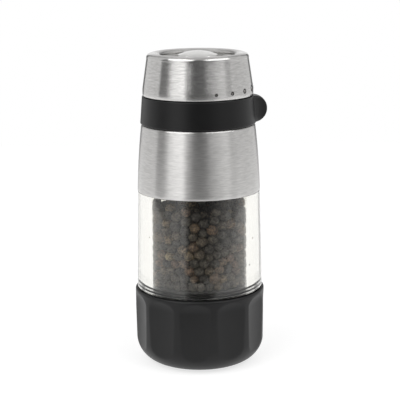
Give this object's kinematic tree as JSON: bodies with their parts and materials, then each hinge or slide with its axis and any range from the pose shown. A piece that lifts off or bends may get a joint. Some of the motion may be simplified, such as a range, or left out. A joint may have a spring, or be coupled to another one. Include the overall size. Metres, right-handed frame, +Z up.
{
  "type": "pepper mill",
  "caption": "Hand pepper mill with a fluted turning base, clear jar, steel head, coarseness ring with a thumb tab and a top outlet.",
  "frame": {"origin": "middle of the flat underside, on the mill's axis", "axes": "+Z up along the mill's axis to the grinding end, +X towards the setting ring's tab at its coarsest setting"},
  "size_m": [0.0645, 0.0628, 0.1519],
  "materials": {
    "soft_grip": "matte",
    "black_moulding": "satin",
    "setting_ring": "matte",
    "seal_rubber": "matte",
    "foot_rubber": "matte",
    "glide_acetal": "satin",
    "hub_nylon": "satin",
    "clear_acrylic": "polished",
    "brushed_cap": "satin",
    "brushed_skirt": "satin",
    "polished_dome": "polished",
    "dish_steel": "satin",
    "dot_paint": "matte",
    "burr_ceramic": "matte",
    "shaft_steel": "satin",
    "bush_acetal": "satin",
    "fastener_steel": "satin",
    "spring_steel": "satin",
    "peppercorn": "matte"
  },
  "bodies": {
    "base": {"grip_sleeve": "soft_grip", "base_core": "black_moulding", "floor_plate": "black_moulding", "foot_pad": "foot_rubber", "drive_hub": "hub_nylon", "hub_screws": "fastener_steel", "base_seal": "seal_rubber"},
    "glide": {"glide_ring": "glide_acetal"},
    "head": {"pepper_jar": "clear_acrylic", "jar_gasket": "seal_rubber", "steel_skirt": "brushed_skirt", "head_frame": "black_moulding", "bearing_plate": "black_moulding", "shaft_bush": "bush_acetal", "click_spring": "spring_steel", "outlet_core": "black_moulding", "outlet_dish": "dish_steel", "coarseness_marks": "dot_paint", "steel_cap": "brushed_cap", "cap_screws": "fastener_steel", "burr_spring": "spring_steel"},
    "setting": {"adjust_ring": "setting_ring"},
    "carrier": {"burr_carrier": "black_moulding", "cam_pins": "fastener_steel", "outer_burr": "burr_ceramic", "burr_clip": "spring_steel"},
    "rotor": {"drive_shaft": "shaft_steel", "shaft_clip": "spring_steel", "feed_auger": "black_moulding", "inner_burr": "burr_ceramic", "burr_washer": "fastener_steel", "lock_nut": "fastener_steel", "dome_stem": "black_moulding", "centre_dome": "polished_dome"}
  },
  "joints": [
    {"name": "grind_turn", "type": "hinge", "parent": "base", "child": "glide", "pos_m": [0, 0, 0.037], "axis": [0, 0, 1], "continuous": true},
    {"name": "refill_pull", "type": "slide", "parent": "glide", "child": "head", "axis": [0, 0, 1], "range_m": [0, 0.025]},
    {"name": "rotor_turn", "type": "hinge", "parent": "head", "child": "rotor", "pos_m": [0, 0, 0.099], "axis": [0, 0, 1], "continuous": true},
    {"name": "grind_adjust", "type": "hinge", "parent": "head", "child": "setting", "pos_m": [0, 0, 0.124], "axis": [0, 0, 1], "range_deg": [-74, 0]},
    {"name": "burr_lift", "type": "slide", "parent": "head", "child": "carrier", "axis": [0, 0, 1], "range_m": [0, 0.0012], "deforming": ["burr_spring"]}
  ],
  "couplings": [
    {"joint": "rotor_turn", "follows": "grind_turn", "ratio": -1},
    {"joint": "grind_adjust", "follows": "burr_lift", "rad_per_m": -1076}
  ]
}
